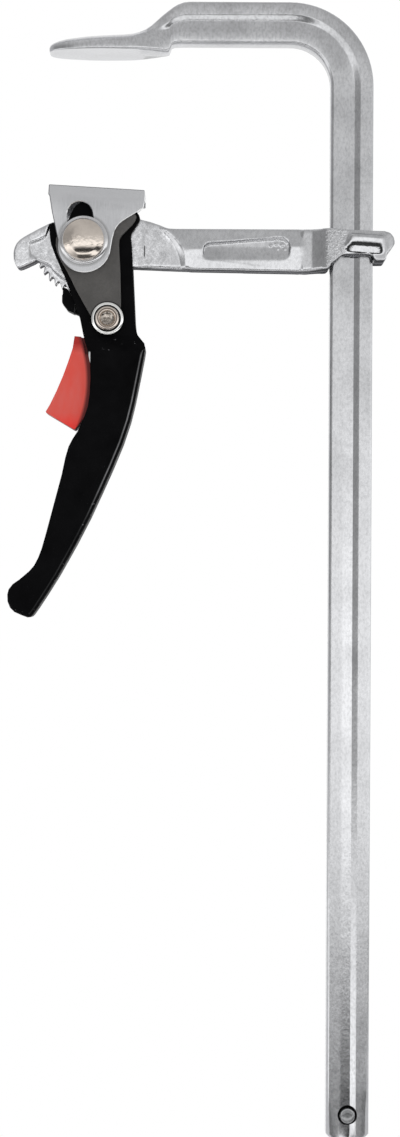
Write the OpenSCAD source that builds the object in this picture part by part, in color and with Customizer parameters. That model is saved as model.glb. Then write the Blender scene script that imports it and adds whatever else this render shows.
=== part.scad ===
// Quick release bar clamp: forged rail with a fixed jaw, sliding arm, ratchet lever and tilting plate.
// The origin is on the face of the fixed jaw, above the middle of the pressure plate.
// +Z points up along the bar, +X points from the jaw to the bar, and y = 0 is the mid-plane.

/* [Rail] */
// Width of the bar, seen from the side
bar_w = 22; // [18:0.5:26]
// Thickness of the bar
bar_t = 10.5; // [9:0.1:11]
// Reach, from the middle of the jaws to the inner edge of the bar
throat = 120; // [110:1:150]
// Length of the bar below the face of the fixed jaw
bar_drop = 556; // [300:1:700]
// Inner radius of the bend
bend_r = 21; // [14:0.5:26]
// Radius on the four long edges of the bar
bar_edge_r = 2; // [1:0.1:2.5]
// Width of the groove in each broad face
groove_w = 9.2; // [7:0.1:12]
// Width of the flat floor of the groove
groove_floor_w = 3; // [1:0.1:5]
// Depth of the groove
groove_d = 1.2; // [0.5:0.1:1.6]
// Chamfer on the two corners of the bar's end
bar_end_c = 1.9; // [1:0.1:4]

/* [Fixed jaw] */
// Width of the jaw pad, across the clamp
pad_w = 27.6; // [20:0.2:32]
// Reach of the pad ahead of the jaw's middle
pad_front = 24.5; // [20:0.5:30]
// Reach of the pad behind the jaw's middle
pad_back = 35; // [30:0.5:40]
// Thickness of the pad at its front tip
pad_tip_t = 3.6; // [2:0.1:5]
// Thickness of the pad where it meets the neck
pad_root_t = 7.2; // [6:0.1:10]
// Height of the bar's lower edge above the face of the pad
neck_step = 4.5; // [3:0.1:8]

/* [Stop pin] */
// Diameter of the pin through the end of the bar
stop_pin_d = 7.8; // [5:0.1:9]
// Height of the pin above the end of the bar
stop_pin_rise = 11.5; // [8:0.5:20]
// How far the pin stands out of each face of the bar
stop_pin_out = 1.6; // [1:0.1:3]

/* [Sliding arm] */
// Depth of the arm's centre line below the face of the fixed jaw
arm_drop = 101.3; // [95:0.1:140]
// Height of the arm
arm_h = 21.8; // [20:0.2:24]
// Rise of the arm's lower edge, from the eye to the head
arm_taper = 2.2; // [0:0.1:4]
// Thickness of the arm at its ridge, half way up
web_mid_t = 14; // [12:0.2:16]
// Thickness of the arm at its top and bottom edges
web_edge_t = 11; // [10.5:0.1:13]
// Thickness of the milled head, where the lever straddles it
head_t = 10; // [8:0.2:12]
// Width of the eye that rides on the bar
eye_w = 22; // [20:0.2:26]
// How far the rib stands out of each face of the eye
eye_rib_out = 1.4; // [0.8:0.1:2]
// Length of the eye's tail beyond the bar
eye_tail = 11.1; // [9:0.1:15]
// Play between the bar and the eye, on each side
bar_play = 0.3; // [0.15:0.05:0.8]
// Length of the pocket in each face of the arm
pocket_l = 44.6; // [30:0.2:50]
// Height of the pocket
pocket_h = 9.8; // [6:0.2:11]
// Depth of the pocket
pocket_d = 1.8; // [0.5:0.1:2.2]

/* [Pivot] */
// Distance of the pivot ahead of the jaw's middle
pivot_ahead = 6; // [2:0.2:10]
// Height of the pivot above the arm's centre line
pivot_rise = 3.7; // [0:0.1:4]
// Diameter of the rivet's shank
pivot_d = 10; // [8:0.2:11]
// Diameter of the rivet's domed heads
pivot_head_d = 21; // [16:0.2:22]
// Height of the rivet's domed heads
pivot_head_h = 4.6; // [3:0.1:6]
// Diameter of the washers under the heads
pivot_washer_d = 25.4; // [24:0.2:28]
// Thickness of the washers
washer_t = 1.2; // [0.8:0.1:2]
// Running clearance of each shaft in its hole, on the radius
run_fit = 0.05; // [0.02:0.01:0.09]
// Gap between flat faces that turn against each other
side_gap = 0.2; // [0.1:0.05:0.4]

/* [Pressure plate] */
// Height of the plate's face above the pivot
plate_rise = 27.4; // [26:0.1:32]
// Length of the plate ahead of the pivot
plate_front = 19.4; // [17:0.2:24]
// Length of the plate behind the pivot
plate_back = 29.5; // [28:0.5:34]
// Thickness of the plate above the cam
plate_t = 2.8; // [2:0.1:3.6]
// Height of the band along the plate's top edge
plate_band_h = 5.5; // [4:0.1:6]
// How far the band stands out of the flanges
plate_band_out = 0.6; // [0.2:0.1:1.2]
// Thickness of the plate's flanges
flange_t = 2.5; // [1.5:0.1:4]
// Width of the slot in each flange
slot_w = 13; // [12.6:0.1:14]
// Distance from the pivot up to the centre of the slot's top end
slot_up = 13.5; // [10:0.1:14]
// Distance from the pivot down to the centre of the slot's bottom end
slot_down = 5.2; // [5:0.1:6]
// Lean of the slot from the plate's normal, in degrees
slot_lean = 12; // [8:0.5:13]
// Tilt of the plate at rest, in degrees
plate_tilt = 3.24; // [0:0.02:5]
// Clearance of the bush in the slot, on each side
slot_fit = 0.1; // [0.05:0.01:0.3]

/* [Lever] */
// Thickness of the lever's sheet
lever_t = 2.2; // [1.6:0.1:3]
// Thickness of the cheek plates
cheek_t = 2.2; // [1.6:0.1:3]
// How far each side of the grip steps outward, for the hand
grip_flare = 3; // [1:0.1:4]
// Lift of the plate for each radian that the lever turns
cam_lift = 10; // [6:0.5:11]
// Gap between the cam and the underside of the plate
cam_gap = 0.22; // [0.2:0.01:0.4]
// Distance of the pawl rivet behind the pivot
pawl_behind = 12.2; // [11:0.1:13]
// Distance of the pawl rivet below the pivot
pawl_below = 39.5; // [38:0.1:42]
// Diameter of the pawl rivet's shank
pawl_rivet_d = 8; // [5:0.2:9]
// Diameter of the pawl rivet's heads
pawl_head_d = 12.6; // [10:0.2:13]
// Height of the pawl rivet's heads
pawl_head_h = 1.8; // [1:0.1:3]
// Diameter of the dimple in each head of the pawl rivet
pawl_dimple_d = 7.2; // [4:0.2:8]
// Diameter of the washers under the pawl rivet's heads
pawl_washer_d = 16.4; // [15:0.1:18]

/* [Ratchet] */
// Radius of the ratchet's tooth tips
tooth_tip_r = 26.3; // [25.5:0.1:26.8]
// Depth of the ratchet's teeth
tooth_d = 2.5; // [2:0.1:3]
// Angle between the teeth, in degrees
tooth_pitch = 9; // [9:1:10]
// Number of teeth
tooth_count = 9; // [8:1:10]
// Direction of the first tooth's tip from the pivot, in degrees
tooth_start = 209; // [208:0.5:214]
// Radius of the thick hub behind the teeth
ratchet_hub_r = 21.3; // [19:0.1:22]
// Thickness of the toothed rim
tooth_t = 7; // [5:0.2:8]

/* [Pawl and trigger] */
// Thickness of the pawl
pawl_t = 6; // [4:0.2:7]
// Turn of the pawl from riding on the teeth to sitting between them, in degrees
pawl_engage = 5.5; // [5:0.1:7]
// Radius of the pawl around its rivet
pawl_hub_r = 8; // [7:0.1:9]
// Clearance between the trigger and the lever's grip, on each side
trigger_gap = 1; // [0.5:0.1:2]
// Diameter of the pin that holds the trigger on the pawl
trigger_pin_d = 3; // [2:0.1:4]
// Diameter of the pawl spring's wire
spring_wire_d = 0.8; // [0.5:0.05:1]
// Outer diameter of the spacers beside the pawl
spacer_d = 12; // [10:0.2:12.6]

/* [Hidden] */
$fn = 96;
far = 60;                                    // reach of cutting tools past the part
arc_steps = 6;                               // straight pieces in each rounded corner

zinc = [0.78, 0.79, 0.80];
forged = [0.72, 0.73, 0.75];
nickel = [0.80, 0.76, 0.71];
black = [0.06, 0.06, 0.07];
grey = [0.33, 0.33, 0.32];
red = [0.80, 0.16, 0.13];

bend_x = throat - bend_r;
bend_z = neck_step - bend_r;
neck_end = pad_back + 12.6;                   // where the neck goes over into the plain bar
stop_pin_at = [throat + bar_w / 2, stop_pin_rise - bar_drop];
arm_z = -arm_drop;
arm_top = arm_z + arm_h / 2;
arm_bottom = arm_z - arm_h / 2;
pivot_x = -pivot_ahead;
pivot_z = arm_z + pivot_rise;

// Layers outward from the mid-plane, one behind the other
lever_in = head_t / 2 + side_gap;
lever_out = lever_in + lever_t;
cheek_out = lever_out + cheek_t;
flange_in = cheek_out + side_gap + 0.1;
flange_out = flange_in + flange_t;
washer_in = flange_out + side_gap;
washer_out = washer_in + washer_t;
rivet_seat = cheek_out + washer_t;
grip_in = lever_in + grip_flare;
grip_out = lever_out + grip_flare;

bush_r = slot_w / 2 - slot_fit;
cam_base = plate_rise - plate_t - cam_gap;
tooth_root_r = tooth_tip_r - tooth_d;
pawl_at = [pawl_behind, -pawl_below];
flare_from = -pawl_below - pawl_washer_d / 2 - 0.4;     // where the lever's sides begin to step outward
flare_to = flare_from - 8;
trigger_pin_at = [1.5, -66];

function unit(v) = v / norm(v);
function polar(r, a) = [r * cos(a), r * sin(a)];
function turn(p, a) = [p.x * cos(a) - p.y * sin(a), p.x * sin(a) + p.y * cos(a)];
function turn_about(p, c, a) = c + turn(p - c, a);
function reversed(p) = [for (i = [len(p) - 1:-1:0]) p[i]];

// One corner of an outline: [x, z, r] becomes an arc of radius r between its neighbours
function corner(a, b, c) =
    let (p = [b.x, b.y], r = len(b) > 2 ? b[2] : 0)
    r == 0 ? [p] :
    let (u = unit([a.x, a.y] - p), v = unit([c.x, c.y] - p), half = acos(u * v) / 2,
         centre = p + unit(u + v) * r / sin(half), run = r / tan(half),
         from = p + u * run - centre, to = p + v * run - centre,
         start = atan2(from.y, from.x), swing = atan2(to.y, to.x) - start,
         sweep = swing > 180 ? swing - 360 : swing < -180 ? swing + 360 : swing)
    [for (k = [0:arc_steps]) centre + polar(r, start + sweep * k / arc_steps)];

// Closed outline with rounded corners
function rounded(p) = [for (i = [0:len(p) - 1])
    each corner(p[(i + len(p) - 1) % len(p)], p[i], p[(i + 1) % len(p)])];

// Open line with rounded corners, whose first and last points stay
function rounded_line(p) = [[p[0].x, p[0].y],
    for (i = [1:len(p) - 2]) each corner(p[i - 1], p[i], p[i + 1]),
    [p[len(p) - 1].x, p[len(p) - 1].y]];

// Line moved sideways by d, to its right as it runs
function beside(p, d) = [for (i = [0:len(p) - 1])
    let (t = unit(p[min(i + 1, len(p) - 1)] - p[max(i - 1, 0)])) p[i] + d * [t.y, -t.x]];

// Outline in x and z, made solid from y0 to y1
module slab(outline, y0, y1)
    translate([0, y1, 0]) rotate([90, 0, 0]) linear_extrude(y1 - y0) polygon(outline);

// The same slab on both sides of the mid-plane
module slabs(outline, y0, y1) {
    slab(outline, y0, y1);
    slab(outline, -y1, -y0);
}

// Round bar across the clamp, at [x, z], from y0 to y1
module across(at, r, y0, y1)
    translate([at.x, y1, at.y]) rotate([90, 0, 0]) cylinder(r = r, h = y1 - y0);

// Ring across the clamp
module ring(at, outer_r, inner_r, y0, y1)
    difference() {
        across(at, outer_r, y0, y1);
        across(at, inner_r, y0 - 1, y1 + 1);
    }

// Slot across the clamp between two centres; its straight sides lie a hair inside its round ends
module long_hole(a, b, r, y0, y1) {
    run = b - a;
    side = r - 0.02;
    across(a, r, y0, y1);
    across(b, r, y0, y1);
    translate([a.x, y0, a.y]) rotate([0, -atan2(run.y, run.x), 0]) translate([0, 0, -side])
        cube([norm(run), y1 - y0, 2 * side]);
}

module at_pivot() translate([pivot_x, 0, pivot_z]) children();

// Turned about the pivot with the plate's tilt at rest
module in_plate_frame() at_pivot() rotate([0, plate_tilt, 0]) children();

// ---------------------------------------------------------------- rail

// Section of the bar: x is the width from the inner edge, y is the thickness
module bar_section()
    polygon(rounded([for (s = [1, -1]) each let (
        half = bar_t / 2, mid = bar_w / 2,
        side = [[0, half, bar_edge_r], [mid - groove_w / 2, half], [mid - groove_floor_w / 2, half - groove_d],
                [mid + groove_floor_w / 2, half - groove_d], [mid + groove_w / 2, half],
                [bar_w, half, bar_edge_r]])
        s > 0 ? side : [for (q = reversed(side)) [q.x, -q.y, len(q) > 2 ? q[2] : 0]]]));

// Side view of the neck and the pad, from the straight run down to the tip
function neck_outline() =
    let (crown = neck_step + bar_w)
    rounded([[neck_end, neck_step], [pad_back + 2, neck_step - 0.3, 0.8], [pad_back + 1.4, 1], [pad_back - 3, 0],
             [-pad_front, 0, 0.8], [-pad_front, pad_tip_t - 2, 1], [-pad_front + 4, pad_tip_t, 4],
             [16 - pad_front, (pad_tip_t + pad_root_t) / 2, 20], [pad_back - 14.2, pad_root_t, 14],
             [pad_back + 5.8, crown, 15], [neck_end, crown]]);

// Plan of the pad: two half ellipses of different lengths
function pad_plan() =
    let (mid = 2, steps = 20)
    [for (k = [0:2 * steps - 1]) let (a = 180 * k / steps)
        [mid + (cos(a) > 0 ? pad_back - mid : pad_front + mid) * cos(a), pad_w / 2 * sin(a)]];

module rail() color(forged) {
    difference() {
        translate([throat, 0, -bar_drop]) linear_extrude(bend_z + bar_drop) bar_section();
        for (x = [throat, throat + bar_w]) translate([x, 0, -bar_drop]) rotate([0, 45, 0])
            cube([bar_end_c * sqrt(2), far, bar_end_c * sqrt(2)], center = true);
        across(stop_pin_at, stop_pin_d / 2, -far, far);
    }
    translate([bend_x, 0, bend_z]) rotate([90, 0, 0])
        rotate_extrude(angle = 90) translate([bend_r, 0]) bar_section();
    translate([bend_x, 0, neck_step]) rotate([0, -90, 0])
        linear_extrude(bend_x - neck_end + 1) bar_section();
    slab(neck_outline(), -bar_t / 2, bar_t / 2);
    intersection() {
        slab(neck_outline(), -pad_w, pad_w);
        translate([0, 0, -1]) linear_extrude(far) polygon(pad_plan());
    }
}

module stop_pin() color(zinc)
    across(stop_pin_at, stop_pin_d / 2 - run_fit, -bar_t / 2 - stop_pin_out, bar_t / 2 + stop_pin_out);

// ---------------------------------------------------------------- sliding arm

eye_end = throat + bar_w + eye_tail;
eye_top = arm_top - 0.7;
eye_bottom = arm_bottom + 8.4;               // lower edge of the walls beside the bar
flare_start = throat - 11.6;                 // where the web begins to widen into the eye
flare_end = throat + 0.4;
head_end = pivot_x + 48;                     // where the head's flat faces end in the web
mill_at = [pivot_x + 22.4, arm_bottom];      // centre of the milling cutter's run-out
mill_r = 26;
pocket_at = [pivot_x + 82.8, arm_z + 0.9];

// Side view of the eye: deep where it backs the bar, with shallow walls that cross the bar
function eye_outline() = rounded([
    [flare_start, arm_top], [throat - 1, arm_top], [throat + 6, eye_top], [eye_end, eye_top - 1.2, 4],
    [eye_end, eye_bottom + 4.4, 2], [eye_end - 4.4, eye_bottom + 0.5], [eye_end - 5.4, eye_bottom - 1.5, 0.6],
    [throat + bar_w + 0.8, eye_bottom - 1.5], [throat + bar_w - 2.6, eye_bottom, 2],
    [throat + 6.3, eye_bottom, 2], [throat + 0.3, eye_bottom - 4.6, 0.5], [throat - 0.8, arm_bottom + 1.4, 1.5],
    [flare_start, arm_bottom]]);

// Plan of the eye: the web's faces sweep out to the eye's in one S-curve, and the tail is round
function eye_plan() =
    let (steps = 10, tail_r = 5.6,
         side = [for (k = [0:steps]) [flare_start + (flare_end - flare_start) * k / steps,
             web_mid_t / 2 + (eye_w - web_mid_t) / 4 * (1 - cos(180 * k / steps))]],
         tail = [for (a = [90:-15:0]) [eye_end - tail_r, eye_w / 2 - tail_r] + polar(tail_r, a)],
         half = [[flare_start, 0], each side, each tail])
    [each half, each reversed([for (q = half) [q.x, -q.y]])];

// Low rib along each wall of the eye, leaning down towards the tail
module eye_rib() {
    rib_h = 9.4;
    rib_l = 21.6;
    rib_r = (pow(eye_rib_out, 2) + pow(rib_h / 2, 2)) / (2 * eye_rib_out);
    for (s = [-1, 1]) translate([throat + 5, 0, eye_bottom + rib_h / 2 + 0.5]) rotate([0, 3.5, 0])
        intersection() {
            translate([0, s * (eye_w / 2 + eye_rib_out - rib_r), 0]) rotate([0, 90, 0])
                cylinder(r = rib_r, h = rib_l);
            slab([[2, rib_h / 2], [rib_l, rib_h / 2], [rib_l, -rib_h / 2], [0, -rib_h / 2]],
                 s > 0 ? eye_w / 2 - 1 : -far, s > 0 ? far : 1 - eye_w / 2);
        }
}

// The web is thickest along its ridge, half way up
module arm_web() {
    from = pivot_x + 26;
    to = flare_start + 1;
    intersection() {
        translate([from, 0, 0]) rotate([90, 0, 90]) linear_extrude(to - from)
            polygon([[-web_edge_t / 2, arm_bottom], [web_edge_t / 2, arm_bottom], [web_mid_t / 2, arm_z],
                     [web_edge_t / 2, arm_top], [-web_edge_t / 2, arm_top], [-web_mid_t / 2, arm_z]]);
        slab([[from, arm_top], [from, arm_bottom + arm_taper], [head_end, arm_bottom + arm_taper / 2],
              [to, arm_bottom], [to, arm_top]], -far, far);
    }
}

// Outline of the head in x and z from the pivot: boss, hook and the root of the web
function head_outline() =
    let (top = arm_top - pivot_z, bottom = arm_bottom - pivot_z)
    rounded([[head_end - pivot_x, bottom + arm_taper / 2], [head_end - pivot_x, top], [37.5, top, 14],
             [25.5, top + 6.4, 6], [-3, top + 7.4, 8], [-18, 9.8, 6], [-33.4, 2.6, 5], [-36.8, -3, 4],
             [-33.6, -13.4, 2.5], [-24.6, -9, 1], [-18, -12], [-10, bottom + arm_taper],
             [25, bottom + arm_taper]]);

// Raised rim around the hook, left standing by the milling of the head
function hook_rim() =
    rounded([[-19, 9.4], [-33.4, 2.6, 5], [-36.8, -3, 4], [-33.6, -13.4, 2.5], [-26.6, -10],
             [-28.2, -6.6, 1], [-28.4, -0.8, 2], [-18.6, 3.9]]);

// Ratchet rim: each tooth climbs from its root and drops along a radius
function ratchet_outline() =
    let (first = tooth_start - tooth_pitch, last = tooth_start + tooth_pitch * (tooth_count - 1))
    [[0, 0], each [for (k = [0:tooth_count - 1]) let (a = tooth_start + tooth_pitch * k)
        each [polar(tooth_root_r, a - tooth_pitch + 1.5), polar(tooth_tip_r, a - 0.8),
              polar(tooth_tip_r, a), polar(tooth_root_r, a)]], polar(tooth_root_r, last + 6)];

// Thick hub that backs the teeth
function hub_outline() =
    let (from = tooth_start - tooth_pitch, to = tooth_start + tooth_pitch * tooth_count, steps = 18)
    [[0, 0], each [for (k = [0:steps]) polar(ratchet_hub_r, from + (to - from) * k / steps)]];

module pocket_cut(side) {
    reach = [(pocket_l - pocket_h) / 2, 0];
    floor_y = web_mid_t / 2 - pocket_d;
    long_hole(pocket_at - reach, pocket_at + reach, pocket_h / 2,
              side > 0 ? floor_y : -far, side > 0 ? far : -floor_y);
}

module sliding_arm() color(forged) difference() {
    union() {
        difference() {
            arm_web();
            for (s = [-1, 1]) {
                across(mill_at, mill_r, s > 0 ? head_t / 2 : -far, s > 0 ? far : -head_t / 2);
                pocket_cut(s);
            }
        }
        intersection() {
            slab(eye_outline(), -far, far);
            translate([0, 0, -far - arm_drop]) linear_extrude(2 * far) polygon(eye_plan());
        }
        eye_rib();
        at_pivot() {
            slab(head_outline(), -head_t / 2, head_t / 2);
            slab(hub_outline(), -head_t / 2, head_t / 2);
            slab(ratchet_outline(), -tooth_t / 2, tooth_t / 2);
            difference() {
                slab(hook_rim(), -web_mid_t / 2 + 0.5, web_mid_t / 2 - 0.5);
                across([0, 0], ratchet_hub_r, -far, far);
            }
        }
    }
    translate([throat - bar_play, -bar_t / 2 - bar_play, -far - arm_drop])
        cube([bar_w + 2 * bar_play, bar_t + 2 * bar_play, 2 * far]);
    at_pivot() across([0, 0], pivot_d / 2 + run_fit, -far, far);
}

// ---------------------------------------------------------------- pivot

// Profile of a domed head of radius r and height h, standing on z = 0
module dome(r, h) {
    ball_r = (r * r + h * h) / (2 * h);
    rotate_extrude() polygon([[0, 0], each [for (k = [0:12]) let (a = asin(r / ball_r) * (12 - k) / 12)
        [ball_r * sin(a), h - ball_r + ball_r * cos(a)]]]);
}

module pivot_rivet() color(nickel) at_pivot() {
    across([0, 0], pivot_d / 2, -washer_out - 0.5, washer_out + 0.5);
    for (s = [0, 180]) rotate([0, 0, s]) translate([0, washer_out, 0]) rotate([-90, 0, 0])
        dome(pivot_head_d / 2, pivot_head_h);
}

module front_pivot_washer() color(zinc) at_pivot()
    ring([0, 0], pivot_washer_d / 2, pivot_d / 2 + run_fit, -washer_out, -washer_in);

module rear_pivot_washer() color(zinc) at_pivot()
    ring([0, 0], pivot_washer_d / 2, pivot_d / 2 + run_fit, washer_in, washer_out);

module front_slot_bush() color(zinc) at_pivot()
    ring([0, 0], bush_r, pivot_d / 2 + run_fit, -flange_out, -cheek_out - side_gap / 2);

module rear_slot_bush() color(zinc) at_pivot()
    ring([0, 0], bush_r, pivot_d / 2 + run_fit, cheek_out + side_gap / 2, flange_out);

// ---------------------------------------------------------------- pressure plate

slot_top = polar(slot_up, 90 + slot_lean);
slot_bottom = -polar(slot_down, 90 + slot_lean);
lobe_r = slot_w / 2 + 7.1;
lobe_at = [0.4, -2.7];

// Flange in the plate's frame: narrow lobe around the slot, wide top with a scooped back edge
function flange_outline() =
    let (left = [-plate_front + 0.3, plate_rise - 5], steps = 16)
    [[-plate_front + 0.6, plate_rise - 1], left, [-17.1, 13.8],
     each [for (k = [0:steps]) lobe_at + polar(lobe_r, 172 + 176 * k / steps)],
     [15.4, 6.4], [17.2, 9.8], [19.9, 12.8], [25.8, 16.7], [plate_back - 0.8, 18.3],
     [plate_back - 0.3, plate_rise - 1]];

module pressure_plate() color(zinc) in_plate_frame() {
    band_out = flange_out + plate_band_out;
    translate([-plate_front, -band_out, plate_rise - plate_t])
        cube([plate_front + plate_back, 2 * band_out, plate_t]);
    for (y = [-band_out, flange_in])
        translate([-plate_front, y, plate_rise - plate_band_h])
            cube([plate_front + plate_back, band_out - flange_in, plate_band_h]);
    difference() {
        slabs(flange_outline(), flange_in, flange_out);
        long_hole(slot_bottom, slot_top, slot_w / 2, -far, far);
    }
}

// ---------------------------------------------------------------- lever

// Cam that lifts a flat plate by cam_lift for each radian: point whose normal stands at angle a
function cam_point(a) =
    let (p = cam_base + cam_lift * (90 - a) * PI / 180)
    [p * cos(a) + cam_lift * sin(a), p * sin(a) - cam_lift * cos(a)];

function cam_line() = [for (a = [152:-6:62]) turn(cam_point(a), -plate_tilt)];

// Edge of the lever, from the horn down its back, round its end and up its front
function lever_edge() = rounded_line([
    [28.8, 15.6], [27.9, 11.6, 1.5], [24.2, 2.4, 5], [26.6, -45.2, 4], [31.8, -53.4, 3], [21.8, -114.5, 300],
    [-26.4, -193.4, 3], [-38.9, -189.6, 6.5], [-39.2, -179.6, 4], [-24.6, -168.8, 16], [-9.6, -112, 30],
    [2.2, -86, 14], [3.6, -66, 25], [-0.2, -47.8, 25], [-1.5, -37.2, 10], [-10.6, -16.2, 30],
    [-16.4, 5, 2], [-9, 9.6]]);

// Cross-section of the lever in y and z, filled out to the sides given above and below the flare
module lever_section(upper_y, grip_y)
    rotate([90, 0, 90]) translate([0, 0, -far]) linear_extrude(3 * far)
        polygon([[-upper_y, far], [upper_y, far], [upper_y, flare_from], [grip_y, flare_to],
                 [grip_y, -4 * far], [-grip_y, -4 * far], [-grip_y, flare_to], [-upper_y, flare_from]]);

module lever_handle() color(black) at_pivot() difference() {
    back = rounded_line([[28.4, -48], [31.8, -53.4, 3], [21.8, -114.5, 300], [-26.4, -193.4, 3],
                         [-38.9, -189.6, 6.5], [-39.2, -179.6, 4], [-33, -175]]);
    intersection() {
        union() {
            difference() {
                slab([each cam_line(), each lever_edge()], -far, far);
                lever_section(lever_in, grip_in);
            }
            slab([each back, each reversed(beside(back, lever_t))], -far, far);
        }
        lever_section(lever_out, grip_out);
    }
    across([0, 0], pivot_d / 2 + run_fit, -far, far);
    across(pawl_at, pawl_rivet_d / 2 + run_fit, -far, far);
}

// Cheek: arc around the pivot washer, horn behind it, arc around the pawl rivet
function cheek_outline() =
    let (end_r = 6.9, steps = 12)
    rounded([[18.7, -0.6, 3], [25.6, 8, 2], [27.2, 13.4, 1], [25, 15, 1], [14, 11.6, 3], [4, 11.8, 2],
             [-8, 8, 4], [-14.2, 2, 4], [-13, -5.3, 6],
             each [for (k = [0:steps]) pawl_at + polar(end_r, 207 + 153 * k / steps)]]);

module cheek(y0, y1) at_pivot() difference() {
    slab(cheek_outline(), y0, y1);
    across([0, 0], pivot_d / 2 + run_fit, -far, far);
    across(pawl_at, pawl_rivet_d / 2 + run_fit, -far, far);
}

module front_cheek() color(grey) cheek(-cheek_out, -lever_out);

module rear_cheek() color(grey) cheek(lever_out, cheek_out);

module pawl_rivet() color(nickel) at_pivot() difference() {
    union() {
        across(pawl_at, pawl_rivet_d / 2, -rivet_seat - 0.5, rivet_seat + 0.5);
        for (y = [-rivet_seat - pawl_head_h, rivet_seat])
            across(pawl_at, pawl_head_d / 2, y, y + pawl_head_h);
    }
    for (y = [-far, rivet_seat + pawl_head_h / 2])
        across(pawl_at, pawl_dimple_d / 2, y, y + far - rivet_seat - pawl_head_h / 2);
}

module front_rivet_washer() color(zinc) at_pivot()
    ring(pawl_at, pawl_washer_d / 2, pawl_rivet_d / 2 + run_fit, -rivet_seat, -cheek_out);

module rear_rivet_washer() color(zinc) at_pivot()
    ring(pawl_at, pawl_washer_d / 2, pawl_rivet_d / 2 + run_fit, cheek_out, rivet_seat);

spacer_in = pawl_t / 2 + side_gap / 2;

module front_pawl_spacer() color(zinc) at_pivot()
    ring(pawl_at, spacer_d / 2, pawl_rivet_d / 2 + run_fit, -lever_in, -spacer_in);

module rear_pawl_spacer() color(zinc) at_pivot()
    ring(pawl_at, spacer_d / 2, pawl_rivet_d / 2 + run_fit, spacer_in, lever_in);

// ---------------------------------------------------------------- pawl and trigger

// A point given for the pawl as it sits between the teeth, moved to where it rides clear of them
function riding(p) = turn_about(p, pawl_at, pawl_engage);

pawl_gap_a = tooth_start + 5 * tooth_pitch;  // gap that the pawl drops into at rest
tail_end = [-4, -78];
ear_gap = 0.3;                               // from each ear to the toothed rim and to the lever

// Wedge that fits the gap, lobe ahead of it, hub around the rivet and tail inside the trigger
function pawl_outline() =
    let (tip = tooth_root_r + 0.8, base = tooth_tip_r + 0.5)
    [riding(polar(base, pawl_gap_a + tooth_pitch - 0.4)), riding(polar(tip, pawl_gap_a + 3.8)),
     riding(polar(tip, pawl_gap_a + 2.6)), riding(polar(base, pawl_gap_a + 0.7)),
     each rounded_line([riding(polar(base, pawl_gap_a - 6)), [-11.1, -30.5, 3], [-8.8, -34.6, 3],
                        [-1.6, -37.6, 2], pawl_at + polar(pawl_hub_r, 190)]),
     tail_end + [-2, 3], tail_end + [6, 0], pawl_at + polar(pawl_hub_r, 280),
     each [for (a = [300:20:440]) pawl_at + polar(pawl_hub_r, a)]];

// Ears of the pawl that straddle the toothed rim, joined to each other beyond the teeth
function ear_outline() =
    let (ear_r = (ratchet_hub_r + tooth_root_r) / 2 + 0.3)
    rounded([riding(polar(ear_r, 252)), riding(polar(ear_r, 246)), [-11.1, -30.5, 3], [-8.8, -34.6, 3],
             [-5, -36.4], [-4, -30]]);

module pawl() color(black) at_pivot() difference() {
    union() {
        slab(pawl_outline(), -pawl_t / 2, pawl_t / 2);
        difference() {
            slab(ear_outline(), ear_gap - lever_in, lever_in - ear_gap);
            across([0, 0], tooth_tip_r + 3, -tooth_t / 2 - ear_gap, tooth_t / 2 + ear_gap);
        }
    }
    across(pawl_at, pawl_rivet_d / 2 + run_fit, -far, far);
    across(trigger_pin_at, trigger_pin_d / 2 + run_fit, -far, far);
}

function trigger_outline() = rounded([
    [-4.6, -48, 1], [-8.4, -66, 60], [-19.6, -87.4, 1.5], [-2.6, -97.2, 1.5], [7.5, -84, 4], [8.6, -62, 3],
    [4, flare_to - 1.4, 2], [-0.8, flare_to - 1], [-1.8, -48.6, 1]]);

module release_trigger() color(red) at_pivot() difference() {
    half = grip_in - trigger_gap;
    slab(trigger_outline(), -half, half);
    slab([[-3, -54], [1, -40], [14, -40], [14, -62], [3.4, -80], [-7.4, -76.6]],
         -pawl_t / 2 - 0.1, pawl_t / 2 + 0.1);
    across(trigger_pin_at, trigger_pin_d / 2 + run_fit, -far, far);
}

module trigger_pin() color(zinc) at_pivot()
    across(trigger_pin_at, trigger_pin_d / 2, -grip_in + trigger_gap, grip_in - trigger_gap);

// Torsion spring: two coils around the rear spacer, one leg on the lever's back, one on the trigger
module pawl_spring() color(zinc) at_pivot() {
    wire_r = spring_wire_d / 2;
    leg_r = wire_r * 0.9;
    leg_l = 18;
    coil_r = spacer_d / 2 + wire_r + 0.3;
    outer_y = lever_in - 0.1 - wire_r;
    inner_y = outer_y - 0.9 * spring_wire_d;
    translate([pawl_at.x, 0, pawl_at.y]) rotate([90, 0, 0]) rotate_extrude()
        for (y = [outer_y, inner_y]) translate([coil_r, -y]) circle(wire_r, $fn = 24);
    translate([pawl_at.x, outer_y, pawl_at.y]) rotate([0, -30, 0]) translate([coil_r, 0, -leg_l])
        cylinder(r = leg_r, h = leg_l, $fn = 24);
    translate([pawl_at.x - coil_r, inner_y, pawl_at.y - leg_l]) cylinder(r = leg_r, h = leg_l, $fn = 24);
}

rail();
stop_pin();
sliding_arm();
pivot_rivet();
front_pivot_washer();
rear_pivot_washer();
front_slot_bush();
rear_slot_bush();
pressure_plate();
lever_handle();
front_cheek();
rear_cheek();
pawl_rivet();
front_rivet_washer();
rear_rivet_washer();
front_pawl_spacer();
rear_pawl_spacer();
pawl();
release_trigger();
trigger_pin();
pawl_spring();
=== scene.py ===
from math import cos, pi, radians, sin

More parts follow.
